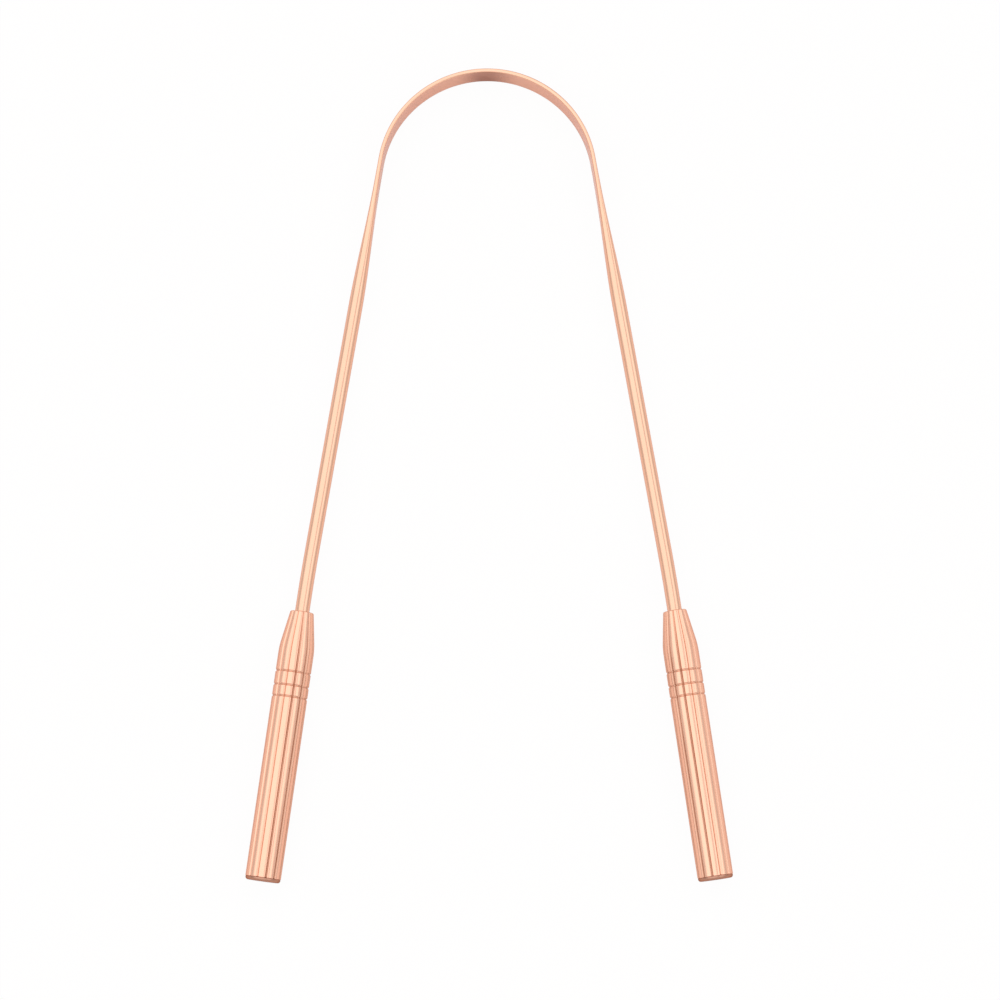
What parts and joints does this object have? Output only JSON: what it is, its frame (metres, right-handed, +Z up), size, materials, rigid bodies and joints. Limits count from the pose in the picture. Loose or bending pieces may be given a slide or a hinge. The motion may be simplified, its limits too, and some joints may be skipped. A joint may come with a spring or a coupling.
{
  "type": "tongue scraper",
  "caption": "U-shaped copper tongue scraper: a wire rolled to a springy flat band at the arch, with round legs and reeded tube grips that are swaged and crimped on.",
  "frame": {"origin": "on the surface that the grips lie on, under the middle of the outline", "axes": "+X to the right across the U, +Y along its mirror line towards the arch, +Z up from the surface"},
  "size_m": [0.07, 0.12, 0.0051],
  "materials": {
    "band_copper": "polished copper, drawn and rolled",
    "grip_copper": "polished copper, reeded",
    "bush_copper": "plain copper, unpolished",
    "plug_copper": "polished copper, turned"
  },
  "bodies": {
    "root": {"scraper_band": "band_copper", "left_grip_sleeve": "grip_copper", "right_grip_sleeve": "grip_copper", "left_crimp_bush": "bush_copper", "right_crimp_bush": "bush_copper", "left_end_plug": "plug_copper", "right_end_plug": "plug_copper"}
  },
  "joints": []
}
